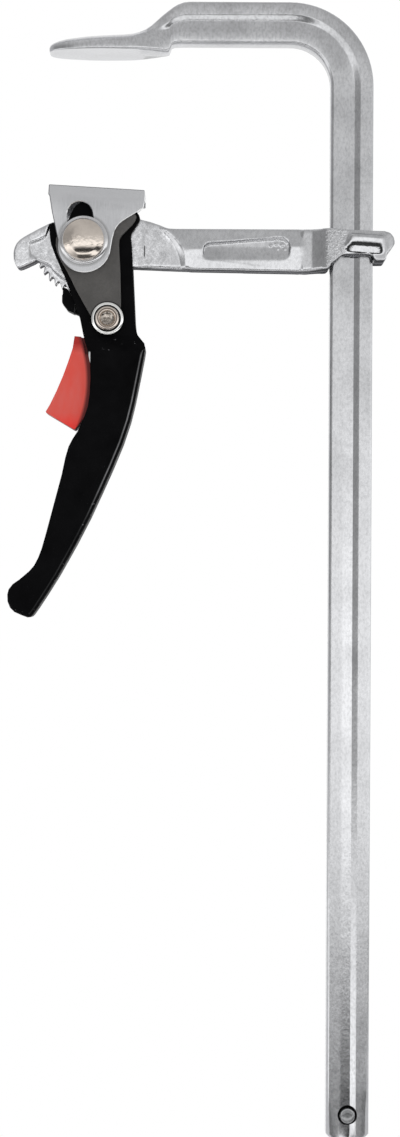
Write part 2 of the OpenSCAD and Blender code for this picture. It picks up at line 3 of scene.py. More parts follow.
import bmesh
import bpy
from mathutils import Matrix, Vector


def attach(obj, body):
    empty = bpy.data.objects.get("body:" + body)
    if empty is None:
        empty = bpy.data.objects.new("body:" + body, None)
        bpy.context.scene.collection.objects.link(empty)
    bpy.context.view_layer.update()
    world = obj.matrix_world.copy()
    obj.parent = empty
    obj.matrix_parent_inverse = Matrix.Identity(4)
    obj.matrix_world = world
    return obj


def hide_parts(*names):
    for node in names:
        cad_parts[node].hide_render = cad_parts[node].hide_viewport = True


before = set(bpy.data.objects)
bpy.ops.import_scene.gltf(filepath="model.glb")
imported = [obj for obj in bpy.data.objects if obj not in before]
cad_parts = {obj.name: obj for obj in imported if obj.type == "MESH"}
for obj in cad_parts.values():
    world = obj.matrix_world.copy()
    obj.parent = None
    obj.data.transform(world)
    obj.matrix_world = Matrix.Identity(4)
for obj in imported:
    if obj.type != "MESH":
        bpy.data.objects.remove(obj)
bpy.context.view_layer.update()  # frame["bodies"], ["nodes"], ["joints"], ["record"]

MM = 0.001
PIVOT = Vector((-6 * MM, 0, -97.6 * MM))
PAWL_RIVET = PIVOT + Vector((12.2, 0, -39.5)) * MM
BAR_INNER, BAR_MIDDLE, BAR_END, PIN_HEIGHT = 0.120, 0.131, -0.556, -0.5445
PIVOT_BORE, PAWL_BORE = 5.05, 4.05  # radii, in millimetres
THROUGH = (-20, 20)  # across the clamp, from in front of everything to behind it, in millimetres


# ---------------------------------------------------------------- camera

def camera():
    data = bpy.data.cameras.new("studio_camera")
    data.sensor_width = 36
    data.lens = 67.62
    holder = bpy.data.objects.new("studio_camera", data)
    holder.location = (0.0541, -1.1, -0.2645)
    holder.rotation_euler = (radians(90), radians(-0.285), 0)
    bpy.context.scene.collection.objects.link(holder)
    bpy.context.scene.camera = holder


# ---------------------------------------------------------------- finishes

def add(tree, kind, **values):
    """One shader node with its settings and the values of its sockets. The nodes are set out in rows."""
    count = len(tree.nodes)
    node = tree.nodes.new(kind)
    node.location = (220 * (count % 10) - 2000, -320 * (count // 10))
    for key, value in values.items():
        if hasattr(node, key):
            setattr(node, key, value)
        else:
            node.inputs[key.replace("_", " ")].default_value = value
    return node


def finish_base(name, colour, metallic, roughness, specular=0.5):
    material = bpy.data.materials.new(name)
    material.use_nodes = True
    tree = material.node_tree
    shader = tree.nodes["Principled BSDF"]
    shader.inputs["Base Color"].default_value = (*colour, 1)
    shader.inputs["Metallic"].default_value = metallic
    shader.inputs["Roughness"].default_value = roughness
    shader.inputs["Specular IOR Level"].default_value = specular
    place = add(tree, "ShaderNodeTexCoord")
    return material, tree, shader, place.outputs["Object"]


def level(tone):
    return (tone, tone, tone)


def maths(tree, operation, first, second=None):
    node = add(tree, "ShaderNodeMath", operation=operation)
    for socket, value in zip(node.inputs, (first, second)):
        if isinstance(value, bpy.types.NodeSocket):
            tree.links.new(value, socket)
        elif value is not None:
            socket.default_value = value
    return node.outputs[0]


def both(tree, first, second):
    """Where two masks are 1 together."""
    return maths(tree, "MULTIPLY", first, second)


def stretched(tree, vector, scale, turn=(0, 0, 0)):
    node = add(tree, "ShaderNodeMapping", Scale=scale, Rotation=turn)
    tree.links.new(vector, node.inputs["Vector"])
    return node.outputs["Vector"]


def noise(tree, vector, scale, detail=3, roughness=0.6):
    node = add(tree, "ShaderNodeTexNoise", Scale=scale, Detail=detail, Roughness=roughness)
    tree.links.new(vector, node.inputs["Vector"])
    return node.outputs["Fac"]


def ramp(tree, value, stops):
    node = add(tree, "ShaderNodeValToRGB")
    row = node.color_ramp.elements
    while len(row) < len(stops):
        row.new(0.5)
    for element, (at, colour) in zip(row, stops):
        element.position = at
        element.color = (*colour, 1)
    tree.links.new(value, node.inputs["Fac"])
    return node.outputs["Color"]


def spread(tree, value, low, high, from_low=0.3, from_high=0.7):
    node = add(tree, "ShaderNodeMapRange", From_Min=from_low, From_Max=from_high, To_Min=low, To_Max=high)
    tree.links.new(value, node.inputs["Value"])
    return node.outputs["Result"]


def blend(tree, factor, first, second, mode="MIX"):
    node = add(tree, "ShaderNodeMix", data_type="RGBA", blend_type=mode)
    sockets = {s.identifier: s for s in node.inputs}
    for key, value in (("Factor_Float", factor), ("A_Color", first), ("B_Color", second)):
        if isinstance(value, bpy.types.NodeSocket):
            tree.links.new(value, sockets[key])
        else:
            sockets[key].default_value = value if key == "Factor_Float" else (*value, 1)
    return {s.identifier: s for s in node.outputs}["Result_Color"]


def bumps(tree, *layers):
    """Each layer is (height, strength, distance in metres), laid over those already there, the coarsest first."""
    shader = tree.nodes["Principled BSDF"]
    for height, strength, distance in layers:
        node = add(tree, "ShaderNodeBump", Strength=strength, Distance=distance)
        tree.links.new(height, node.inputs["Height"])
        for under in [link.from_socket for link in shader.inputs["Normal"].links]:
            tree.links.new(under, node.inputs["Normal"])
        tree.links.new(node.outputs["Normal"], shader.inputs["Normal"])


def worn_edges(tree):
    """1 on outer edges, 0 on faces and in hollows."""
    return spread(tree, add(tree, "ShaderNodeNewGeometry").outputs["Pointiness"], 0, 1, 0.515, 0.58)


def part_of(tree, vector, letter):
    node = add(tree, "ShaderNodeSeparateXYZ")
    tree.links.new(vector, node.inputs[0])
    return node.outputs[letter]


def axis(tree, letter):
    """One of the object's own coordinates, in metres."""
    return part_of(tree, tree.nodes["Texture Coordinate"].outputs["Object"], letter)


def within(tree, value, low, high, soft):
    """1 between low and high, in metres, fading out over soft on either side."""
    return both(tree, spread(tree, value, 0, 1, low - soft, low), spread(tree, value, 1, 0, high, high + soft))


def off_middle(tree, low, high):
    """0 near the clamp's middle plane and 1 beyond, by distance from it in metres."""
    return spread(tree, maths(tree, "ABSOLUTE", axis(tree, "Y")), 0, 1, low, high)


def reach_from(tree, x, z):
    """Distance from an axis across the clamp, in metres."""
    sides = [maths(tree, "SUBTRACT", axis(tree, letter), at) for letter, at in (("X", x), ("Z", z))]
    return maths(tree, "SQRT", maths(tree, "ADD", *(maths(tree, "MULTIPLY", side, side) for side in sides)))


def turned_to(tree, letter, low, high):
    """0 where a surface's normal is low along one axis, 1 where it is high."""
    normal = add(tree, "ShaderNodeNewGeometry").outputs["Normal"]
    return spread(tree, part_of(tree, normal, letter), 0, 1, low, high)


def facing(tree, *stops):
    """A tone by how much a surface faces out of the clamp's broad side: 0 is edge on, 1 is flat on."""
    normal = add(tree, "ShaderNodeNewGeometry").outputs["Normal"]
    turn = maths(tree, "ABSOLUTE", part_of(tree, normal, "Y"))
    return ramp(tree, turn, [(at, level(tone)) for at, tone in stops])


def retoned(tree, mask, tone, mode="MIX"):
    """Lays a tone over a finish where the mask is 1."""
    shader = tree.nodes["Principled BSDF"]
    under = shader.inputs["Base Color"].links[0].from_socket
    tree.links.new(blend(tree, mask, under, tone, mode), shader.inputs["Base Color"])


def shinier(tree, mask, share):
    """Cuts the roughness to a share of itself where the mask is 1."""
    shader = tree.nodes["Principled BSDF"]
    rough = shader.inputs["Roughness"].links[0].from_socket
    tree.links.new(maths(tree, "MULTIPLY", rough, spread(tree, mask, 1, share, 0, 1)), shader.inputs["Roughness"])


def satin_zinc(name, tint=(0.62, 0.625, 0.64), grain=(900, 900, 520), rough=(0.17, 0.25)):
    """Zinc plate over forged or rolled steel: fine grain, faint clouds and brighter edges."""
    material, tree, shader, place = finish_base(name, tint, 1.0, 0.21)
    clouds = noise(tree, place, 38, 4)
    speck = noise(tree, stretched(tree, place, grain), 1, 2)
    light = tuple(min(1, c * 1.12) for c in tint)
    dark = tuple(c * 0.84 for c in tint)
    tone = ramp(tree, clouds, [(0.3, dark), (0.52, tint), (0.75, light)])
    flecks = ramp(tree, speck, [(0.25, level(0.74)), (0.6, level(1.02))])
    tone = blend(tree, 0.7, tone, flecks, "MULTIPLY")
    tone = blend(tree, worn_edges(tree), tone, light)
    tree.links.new(tone, shader.inputs["Base Color"])
    tree.links.new(spread(tree, clouds, *rough), shader.inputs["Roughness"])
    bumps(tree, (clouds, 0.25, 0.00032), (speck, 0.35, 0.00008))
    return material


def rolled_rail(name):
    """Zinc on the bar: a smoother floor along its grooves, and painted shade round the stop pin."""
    material = satin_zinc(name)
    tree = material.node_tree
    floor = both(tree, spread(tree, off_middle(tree, 0.00485, 0.00515), 1, 0, 0, 1),
                 spread(tree, axis(tree, "Z"), 1, 0, -0.06, -0.04))
    shinier(tree, floor, 0.5)
    # Painted shade: a near black ring round the stop pin, where the gap under its head lies in shadow
    pin_shadow = spread(tree, reach_from(tree, BAR_MIDDLE, PIN_HEIGHT), 1, 0, 0.0049, 0.0051)
    retoned(tree, pin_shadow, level(0.01))
    return material


def brushed_plate(name):
    """Zinc sheet brushed along its folds, darker near the top, with painted shade on its edges facing left and up and
    round the pivot washer, and a painted highlight on its edges facing down.
    """
    material = satin_zinc(name, tint=(0.57, 0.575, 0.59), grain=(1900, 300, 160))
    tree = material.node_tree
    retoned(tree, spread(tree, axis(tree, "Z"), 0, 0.8, -0.0835, -0.0765), level(0.80), "MULTIPLY")
    edge = facing(tree, (0.80, 1), (0.93, 0))
    # Painted shade on the edges facing left and on those facing up
    retoned(tree, both(tree, edge, turned_to(tree, "X", -0.25, -0.5)), (0.16, 0.16, 0.17))
    retoned(tree, both(tree, edge, turned_to(tree, "Z", 0.2, 0.5)), (0.36, 0.36, 0.37))
    # Painted shade: a darker ring on the plate round the pivot washer, where the washer casts its shadow
    reach = reach_from(tree, PIVOT.x, PIVOT.z)
    ring = both(tree, spread(tree, reach, 0, 1, 0.0120, 0.0124), spread(tree, reach, 1, 0, 0.0129, 0.0140))
    retoned(tree, ring, (0.66, 0.66, 0.65), "MULTIPLY")
    # Painted highlight: edges facing down are made white
    lit = both(tree, edge, turned_to(tree, "Z", -0.05, -0.3))
    retoned(tree, both(tree, lit, turned_to(tree, "X", -0.35, -0.1)), level(1))
    return material


def forged_arm(name):
    """Zinc over the forging: swirls on the milled head, coarse cast skin at the eye, and painted shade on its
    underside, lighter along the middle seam.
    """
    material = satin_zinc(name, rough=(0.13, 0.21))
    tree = material.node_tree
    shader = tree.nodes["Principled BSDF"]
    place = tree.nodes["Texture Coordinate"].outputs["Object"]
    along = axis(tree, "X")
    head = both(tree, spread(tree, along, 1, 0, 0.036, 0.041), facing(tree, (0.9, 0), (0.98, 1)))
    swirl = noise(tree, stretched(tree, place, (1.4, 1, 0.7), (0, 0.5, 0)), 210, 4, 0.7)
    tone = shader.inputs["Base Color"].links[0].from_socket
    milled = blend(tree, 1.0, tone, ramp(tree, swirl, [(0.3, level(0.86)), (0.62, level(1.3))]), "MULTIPLY")
    tone = blend(tree, head, tone, milled)
    dash = both(tree, within(tree, along, 0.0247, 0.0250, 0.0002),
                within(tree, axis(tree, "Z"), -0.1045, -0.0995, 0.0006))
    tone = blend(tree, dash, tone, level(0.04))
    # Painted shade on the faces turned downward, lighter along the middle seam
    seam = within(tree, axis(tree, "Y"), -0.0016, 0.0016, 0.0014)
    underside_shade = blend(tree, 1.0, tone, blend(tree, seam, (0.16, 0.16, 0.165), (0.42, 0.42, 0.43)), "MULTIPLY")
    underside = both(tree, facing(tree, (0.3, 1), (0.66, 0)), turned_to(tree, "Z", 0.5, -0.3))
    tree.links.new(blend(tree, underside, tone, underside_shade), shader.inputs["Base Color"])
    rib = both(tree, within(tree, along, 0.1232, 0.1475, 0.0006), off_middle(tree, 0.0106, 0.0112))
    shinier(tree, rib, 0.45)
    scale = both(tree, facing(tree, (0.1, 1), (0.4, 0)), turned_to(tree, "Z", -0.3, -0.7))
    tree.links.new(spread(tree, scale, 1, 0, 0, 1), shader.inputs["Metallic"])
    tree.links.new(spread(tree, scale, 0.5, 0, 0, 1), shader.inputs["Specular IOR Level"])
    eye = both(tree, noise(tree, place, 900, 2, 0.5), within(tree, along, 0.1185, 0.1265, 0.002))
    bumps(tree, (eye, 0.9, 0.0006), (both(tree, swirl, head), 0.5, 0.0005))
    return material


def black_coat(name):
    """Baked black coat on pressed steel, with orange peel, a painted highlight along its folds, chipped there, and a
    painted glint on its front edge.
    """
    material, tree, shader, place = finish_base(name, (0.002, 0.002, 0.0025), 0.0, 0.4, 0.03)
    peel = noise(tree, place, 480, 2)
    clouds = noise(tree, place, 70)
    tone = ramp(tree, clouds, [(0.3, (0.0012, 0.0012, 0.0015)), (0.7, (0.004, 0.004, 0.0045))])
    # Painted highlight along the rounded fold of the grip's back
    above = both(tree, spread(tree, axis(tree, "Z"), 0.12, 1, -0.24, -0.215), turned_to(tree, "X", 0.08, 0.2))
    fold = both(tree, facing(tree, (0.84, 0), (0.93, 1), (0.985, 0)), above)
    fold = both(tree, fold, spread(tree, clouds, 0.5, 1))
    tone = blend(tree, fold, tone, (0.30, 0.30, 0.31))
    # Painted glint: a light dash on the front edge beside the trigger
    dash = both(tree, within(tree, axis(tree, "X"), -0.0031, -0.0026, 0.0003),
                within(tree, axis(tree, "Z"), -0.1592, -0.1547, 0.0008))
    tone = blend(tree, dash, tone, level(0.6))
    chips = spread(tree, noise(tree, place, 420, 4, 0.75), 0, 1, 0.66, 0.68)
    chips = both(tree, chips, facing(tree, (0.9, 1), (0.99, 0)))
    tone = blend(tree, chips, tone, (0.22, 0.22, 0.23))
    tree.links.new(tone, shader.inputs["Base Color"])
    tree.links.new(spread(tree, clouds, 0.33, 0.47), shader.inputs["Roughness"])
    bumps(tree, (clouds, 0.1, 0.0005), (peel, 0.12, 0.00015))
    return material


def red_plastic(name):
    """Moulded red plastic with a fine spark-eroded skin, with painted shade at the top, along the lever and on its
    edges, and painted light low down.
    """
    material, tree, shader, place = finish_base(name, (0.62, 0.045, 0.028), 0.0, 0.45, 0.4)
    skin = noise(tree, place, 1500, 2)
    clouds = noise(tree, stretched(tree, place, (1.6, 1, 0.5), (0, 0.35, 0)), 90)
    tone = ramp(tree, clouds, [(0.3, (0.74, 0.068, 0.046)), (0.7, (0.70, 0.112, 0.092))])
    tree.links.new(tone, shader.inputs["Base Color"])
    height = axis(tree, "Z")
    # Painted shade at the top and painted light low down
    retoned(tree, spread(tree, height, 0, 1, -0.1545, -0.1495), (0.40, 0.012, 0.007))
    retoned(tree, spread(tree, height, 1, 0, -0.192, -0.185), (0.85, 0.036, 0.024))
    # Painted shade along the lever's front edge and on the edges turned away from the front
    retoned(tree, spread(tree, reach_from(tree, -0.0643, -0.1686), 0, 1, 0.0592, 0.0607), (0.13, 0.004, 0.003))
    retoned(tree, facing(tree, (0.4, 1), (0.86, 0)), (0.22, 0.008, 0.006))
    tree.links.new(spread(tree, skin, 0.40, 0.52), shader.inputs["Roughness"])
    bumps(tree, (clouds, 0.1, 0.0004), (skin, 0.25, 0.00006))
    return material


def near_pawl_rivet(tree, low, high):
    """1 within low of the pawl rivet's axis, 0 beyond high."""
    return spread(tree, reach_from(tree, PAWL_RIVET.x, PAWL_RIVET.z), 1, 0, low, high)


def fitting_zinc(name):
    """Bright zinc on the turned fittings, with the rivet washer's collar polished and painted shade inside it."""
    material = satin_zinc(name, tint=(0.70, 0.70, 0.71), rough=(0.12, 0.2))
    tree = material.node_tree
    retoned(tree, near_pawl_rivet(tree, 0.0084, 0.0086), (0.95, 0.95, 0.93))
    # Painted shade in the gap between the rivet washer and the rivet head
    retoned(tree, near_pawl_rivet(tree, 0.0067, 0.0070), level(0.02))
    return material


def grey_cheek(name):
    """Dark grey phosphated steel sheet, slightly grainy, rubbed lighter along its edges."""
    material, tree, shader, place = finish_base(name, (0.105, 0.10, 0.095), 0.6, 0.5)
    speck = noise(tree, place, 1100)
    clouds = noise(tree, place, 90)
    tone = ramp(tree, clouds, [(0.32, (0.045, 0.043, 0.041)), (0.68, (0.095, 0.091, 0.087))])
    tone = blend(tree, 0.8, tone, ramp(tree, speck, [(0.35, level(0.55)), (0.62, level(1.15))]), "MULTIPLY")
    tone = blend(tree, worn_edges(tree), tone, (0.16, 0.155, 0.15))
    tree.links.new(tone, shader.inputs["Base Color"])
    # Painted shadow: a near black ring on the cheek round the rivet washer
    retoned(tree, near_pawl_rivet(tree, 0.0085, 0.0092), level(0.01))
    tree.links.new(spread(tree, speck, 0.42, 0.58), shader.inputs["Roughness"])
    bumps(tree, (clouds, 0.15, 0.0003), (speck, 0.3, 0.00008))
    return material


def bright_rivet(name, tint=(0.72, 0.65, 0.585)):
    """Nickel plated head, polished by the rivet set: a warm tone, faint scratches and a dented middle."""
    material, tree, shader, place = finish_base(name, tint, 1.0, 0.12)
    clouds = noise(tree, place, 120)
    scratch = noise(tree, stretched(tree, place, (300, 300, 2600), (0, 0.6, 0)), 1, 2)
    tone = ramp(tree, clouds, [(0.3, tuple(c * 0.86 for c in tint)), (0.7, tuple(min(1, c * 1.1) for c in tint))])
    tree.links.new(tone, shader.inputs["Base Color"])
    tree.links.new(spread(tree, scratch, 0.07, 0.15), shader.inputs["Roughness"])
    ring = within(tree, reach_from(tree, PAWL_RIVET.x, PAWL_RIVET.z), 0.0046, 0.0050, 0.0003)
    retoned(tree, ring, (0.16, 0.13, 0.11))
    mottle = ramp(tree, noise(tree, place, 900, 2), [(0.35, (0.10, 0.085, 0.07)), (0.65, (0.55, 0.50, 0.45))])
    retoned(tree, near_pawl_rivet(tree, 0.0033, 0.0039), mottle)
    dented = both(tree, spread(tree, noise(tree, place, 430), -0.5, 0.5, 0, 1),
                  within(tree, axis(tree, "Z"), -0.1002, -0.0958, 0.0009))
    bumps(tree, (dented, 0.4, 0.0005), (clouds, 0.1, 0.0003), (scratch, 0.15, 0.00004))
    return material


# ---------------------------------------------------------------- shaping

def only(piece):
    bpy.ops.object.select_all(action="DESELECT")
    piece.select_set(True)
    bpy.context.view_layer.objects.active = piece


def edit(kind=None, select=None):
    """Goes into edit mode, there to pick vertices, edges or faces, with all or none of them selected."""
    bpy.ops.object.mode_set(mode="EDIT")
    if kind:
        bpy.ops.mesh.select_mode(type=kind)
    if select:
        bpy.ops.mesh.select_all(action=select)


def leave_edit():
    bpy.ops.object.mode_set(mode="OBJECT")


def unpicked(kind):
    """Clears the selection, so that the next lines can pick what an operator is to work on."""
    edit(kind, "DESELECT")
    leave_edit()


def even_shading(piece, smooth):
    """Flat faces stay flat in the light and only the rounded edges between them turn."""
    only(piece)
    bpy.ops.object.shade_smooth_by_angle(angle=radians(smooth))
    weighted = piece.modifiers.new("shading", "WEIGHTED_NORMAL")
    weighted.weight = 100
    weighted.keep_sharp = True
    bpy.ops.object.modifier_apply(modifier=weighted.name)


def softened(piece, width, segments=3, angle=30, smooth=40, clamped=True):
    """Rounds the edges that turn by more than angle."""
    only(piece)
    rounding = piece.modifiers.new("edges", "BEVEL")
    rounding.width = width
    rounding.segments = segments
    rounding.limit_method = "ANGLE"
    rounding.angle_limit = radians(angle)
    rounding.use_clamp_overlap = clamped
    bpy.ops.object.modifier_apply(modifier=rounding.name)
    even_shading(piece, smooth)
    return piece


def refined(node, name, width):
    """A copy of a frame part with its flat faces made whole and its edges rounded by width."""
    piece = bpy.data.objects.new(name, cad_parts[node].data.copy())
    bpy.context.scene.collection.objects.link(piece)
    only(piece)
    edit(select="SELECT")
    bpy.ops.mesh.customdata_custom_splitnormals_clear()
    bpy.ops.mesh.remove_doubles(threshold=0.000005)
    bpy.ops.mesh.dissolve_limited(angle_limit=radians(0.6))
    leave_edit()
    return softened(piece, width, angle=35, smooth=35, clamped=False)


def stands_for(piece, node, body, material):
    piece.data.materials.clear()
    piece.data.materials.append(material)
    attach(piece, body)
    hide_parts(node)
    return piece


def at_pivot(x, z):
    return PIVOT + Vector((x, 0, z)) * MM


def filled_ring(name, corners):
    """One flat face through the corners, to pull a shape out of."""
    bpy.ops.object.select_all(action="DESELECT")
    bpy.ops.mesh.primitive_circle_add(vertices=len(corners), radius=0.01, fill_type="NGON")
    piece = bpy.context.object
    piece.name = name
    for corner, place in zip(piece.data.vertices, corners):
        corner.co = place
    return piece


def faced_outward():
    """Turns every face of the piece being edited outward, and leaves edit mode."""
    bpy.ops.mesh.select_all(action="SELECT")
    bpy.ops.mesh.normals_make_consistent(inside=False)
    leave_edit()


def drawn(name, outline, near, far, along="y"):
    """A closed outline, filled and pulled straight: in (x, z) from the pivot, or (y, z) along x, or (x, y) along z."""
    def corner_at(u, v, depth):
        return PIVOT + Vector({"y": (u, depth, v), "x": (depth, u, v), "z": (u, v, depth)}[along]) * MM

    piece = filled_ring(name, [corner_at(u, v, near) for u, v in outline])
    edit(select="SELECT")
    pull = corner_at(0, 0, far) - corner_at(0, 0, near)
    bpy.ops.mesh.extrude_region_move(TRANSFORM_OT_translate={"value": pull})
    faced_outward()
    return piece


def extrude_to(piece, old, new):
    """Extrudes the selected ring, and brings each of its corners to its next place."""
    bpy.ops.mesh.extrude_edges_move()
    shape = bmesh.from_edit_mesh(piece.data)
    for corner in shape.verts:
        if corner.select:
            corner.co = new[min(range(len(old)), key=lambda k: (corner.co - old[k]).length_squared)]
    bmesh.update_edit_mesh(piece.data)


def skinned(name, rings):
    """A solid drawn from ring to ring, each a list of corners."""
    piece = filled_ring(name, rings[0])
    edit("EDGE", "SELECT")
    for old, new in zip(rings, rings[1:]):
        extrude_to(piece, old, new)
    bpy.ops.mesh.edge_face_add()
    faced_outward()
    return piece


def lofted(name, rings):
    """The same, with the corners from the pivot in millimetres."""
    return skinned(name, [[PIVOT + Vector(corner) * MM for corner in ring] for ring in rings])


def cut(piece, tool, operation="DIFFERENCE"):
    """Works one shape into another, and puts the tool away."""
    step = piece.modifiers.new("shape", "BOOLEAN")
    step.object = tool
    step.operation = operation
    only(piece)
    bpy.ops.object.modifier_apply(modifier=step.name)
    bpy.data.objects.remove(tool)
    return piece


def joined(piece, others):
    only(piece)
    for other in others:
        other.select_set(True)
    bpy.ops.object.join()
    return piece


def remeshed(piece, grain, passes):
    """One even skin over all the shapes in a piece, softened as by a forging die."""
    skin = piece.modifiers.new("skin", "REMESH")
    skin.mode = "VOXEL"
    skin.voxel_size = grain
    soften = piece.modifiers.new("soften", "SMOOTH")
    soften.factor = 0.5
    soften.iterations = passes
    only(piece)
    for step in (skin, soften):
        bpy.ops.object.modifier_apply(modifier=step.name)
    bpy.ops.object.shade_smooth()
    return piece


def brushed_smooth(piece, low, high, passes):
    """Softens the skin inside a box further, on both sides of the clamp, as with a smoothing brush."""
    only(piece)
    unpicked("VERT")
    for corner in piece.data.vertices:
        x, y, z = (corner.co - PIVOT) / MM
        corner.select = low[0] < x < high[0] and low[1] < abs(y) < high[1] and low[2] < z < high[2]
    edit()
    bpy.ops.mesh.vertices_smooth(factor=0.5, repeat=passes)
    leave_edit()


def arc(centre, radius, start, end, steps):
    return [(centre[0] + radius * cos(radians(start + (end - start) * k / steps)),
             centre[1] + radius * sin(radians(start + (end - start) * k / steps))) for k in range(steps + 1)]


def turned(name, centre, radius, near_y, far_y, near_steps=(), far_steps=(), sides=96):
    """A round part across the clamp. Each end is stepped inward through (radius, height) pairs."""
    bpy.ops.object.select_all(action="DESELECT")
    bpy.ops.mesh.primitive_cylinder_add(vertices=sides, radius=radius * MM, depth=(far_y - near_y) * MM,
                                        location=centre + Vector((0, (near_y + far_y) / 2 * MM, 0)),
                                        rotation=(radians(90), 0, 0))
    piece = bpy.context.object
    piece.name = name
    bpy.ops.object.transform_apply(location=True, rotation=True, scale=False)
    for way, steps in ((-1, near_steps), (1, far_steps)):
        unpicked("FACE")
        end = max(piece.data.polygons, key=lambda face: way * face.center.y + face.area)
        end.select = True
        edit()
        at, height = radius, 0
        for next_radius, next_height in steps:
            bpy.ops.mesh.inset(thickness=(at - next_radius) * MM, depth=(next_height - height) * MM)
            at, height = next_radius, next_height
        leave_edit()
    only(piece)
    bpy.ops.object.shade_smooth_by_angle(angle=radians(32))
    return piece


def waisted(rivet, centre, half, radius):
    """Leaves a shank of one radius between the two heads of a rivet, from -half to half."""
    wider_than_heads = 14
    ring = turned("waist", centre, wider_than_heads, -half, half)
    cut(ring, turned("shank", centre, radius, *THROUGH))
    return cut(rivet, ring)


def drilled(piece, centre, radius):
    return cut(piece, turned("drill", centre, radius, *THROUGH, sides=48))


# Outline of the lever from the pivot, in millimetres
LEVER_BACK = [(31.6, -54.5), (31.1, -58.5), (29.4, -67.5), (26.5, -82.2), (24.1, -92), (20.3, -103.4), (15.2, -115.8),
              (9.6, -128.4), (3.9, -140.9), (-3.3, -155), (-12.2, -171), (-18.4, -181), (-22.9, -187.9)]
LEVER_END = [(-25.2, -191.2), (-26.3, -192.2), (-27.9, -192.4), (-31.2, -191.2), (-34.8, -189.6), (-37, -187.4),
             (-38.3, -184.2), (-38.4, -181), (-37.5, -178), (-35.4, -175.3), (-32, -172.9)]
LEVER_FRONT = [(-27.1, -168.7), (-24.6, -165.8), (-22.6, -162), (-20.8, -157.2), (-18.5, -149), (-14.6, -134.1),
               (-10.7, -119.2), (-8.9, -110.5), (-7.3, -105), (-5.4, -101.3), (-2.9, -97.4), (0.2, -91), (2.4, -84.5),
               (3.3, -78), (3.7, -70), (3.4, -62), (2, -55.5), (-0.2, -47.8), (-1.9, -39.5), (-4.6, -31.5),
               (-8.2, -22.6), (-10.1, -17.6), (-12.3, -12.8), (-14.6, -7.4), (-15.8, -4.3), (-16.9, -1.6), (-17.5, 2),
               (-17.8, 5.6), (-17.4, 8.6), (-16.6, 9.6), (-9, 9.6)]
LEVER_CAM = [(-6.6, 14.6), (-5.8, 16.6), (-4.3, 18.4), (-2.2, 20.1), (0.6, 21.7), (3.8, 22.9), (7.4, 23.6),
             (10.8, 23.7), (14.8, 23.2), (19.3, 21.9), (23.6, 19.7), (25.2, 17.4)]
LEVER_HORN = [(27.2, 14.9), (28.1, 13.6), (28.6, 11.9), (27.9, 9.8), (26, 7), (24.3, 4.3), (23.9, 2.3), (24.4, -1.8),
              (24.7, -8), (25.1, -16.3), (26.3, -40.5), (26.7, -44.4), (27.6, -47.6), (29.4, -49.9), (31.1, -52)]
LEVER_SIDE, GRIP_SIDE, SHEET = 7.4, 10.4, 2.2  # half widths over the sides and the grip, and the sheet's thickness
GRIP_TOP, SIDE_FOOT = -56.1, -48.1  # heights between which the sides step out


def lever_pressing():
    """Channel of pressed sheet: close sides above, a step outward for the grip, and a folded back along the grip."""
    def profile(side, grip):
        half = [(grip, -220), (grip, GRIP_TOP), (side, SIDE_FOOT), (side, 40)]
        return [(-y, z) for y, z in reversed(half)] + half

    piece = drawn("lever_pressing", LEVER_BACK + LEVER_END + LEVER_FRONT + LEVER_CAM + LEVER_HORN, -12, 12)
    cut(piece, drawn("sides", profile(LEVER_SIDE, GRIP_SIDE), -60, 60, "x"), "INTERSECT")
    only(piece)
    unpicked("EDGE")
    fold = LEVER_BACK + LEVER_END[:8]
    for edge in piece.data.edges:
        ends = [(piece.data.vertices[v].co - PIVOT) / MM for v in edge.vertices]
        edge.select = (all(abs(abs(end.y) - GRIP_SIDE) < 0.05 for end in ends) and ends[0].y * ends[1].y > 0
                       and all(min((end.x - x) ** 2 + (end.z - z) ** 2 for x, z in fold) < 1.5
                               or abs(end.z - GRIP_TOP) < 0.1 and end.x > 25 for end in ends))
    edit()
    bpy.ops.mesh.bevel(offset=2.8 * MM, segments=7, affect="EDGES", clamp_overlap=False)
    leave_edit()

    inner = ([(x - SHEET, z - 0.6) for x, z in LEVER_BACK[:-1]]
             + [(-24.6, -187.2), (-26.8, -189.4), (-29.4, -189.2), (-33.6, -187.3), (-35.6, -184.5), (-36.2, -180),
                (-36.2, -177.5)])
    hollow = drawn("hollow", [(60, 40), (60, -53.4), (29.4, -53.4)] + inner + [(-60, -175), (-60, 40)], -10, 10)
    cut(hollow, drawn("inside", profile(LEVER_SIDE - SHEET, GRIP_SIDE - SHEET), -70, 70, "x"), "INTERSECT")
    cut(piece, hollow)
    drilled(piece, PIVOT, PIVOT_BORE)
    return drilled(piece, PAWL_RIVET, PAWL_BORE)


def cheek_plate(name, near_y, far_y):
    outline = [(19.1, -39.5), (19.1, -30), (18.7, -14.7), (18.3, -8.1), (18, -1.9), (18.2, 0.9), (19.4, 2.9),
               (21.8, 5.4), (24.7, 8.4), (26.1, 10.4), (26.7, 12.3), (26.5, 13.4), (25.6, 14), (23, 13.6), (14, 11.4),
               (4, 11.6), (-8, 8), (-12.6, 4.6), (-14.2, 1.5), (-14.4, -2.4), (-13.7, -5.7), (-11.8, -10.1),
               (-9.2, -14.4), (-6.7, -19.2), (-4.2, -24.4)]
    piece = drawn(name, outline + arc((12.2, -39.5), 6.9, 207, 350, 12), near_y, far_y)
    drilled(piece, PIVOT, PIVOT_BORE)
    return drilled(piece, PAWL_RIVET, PAWL_BORE)


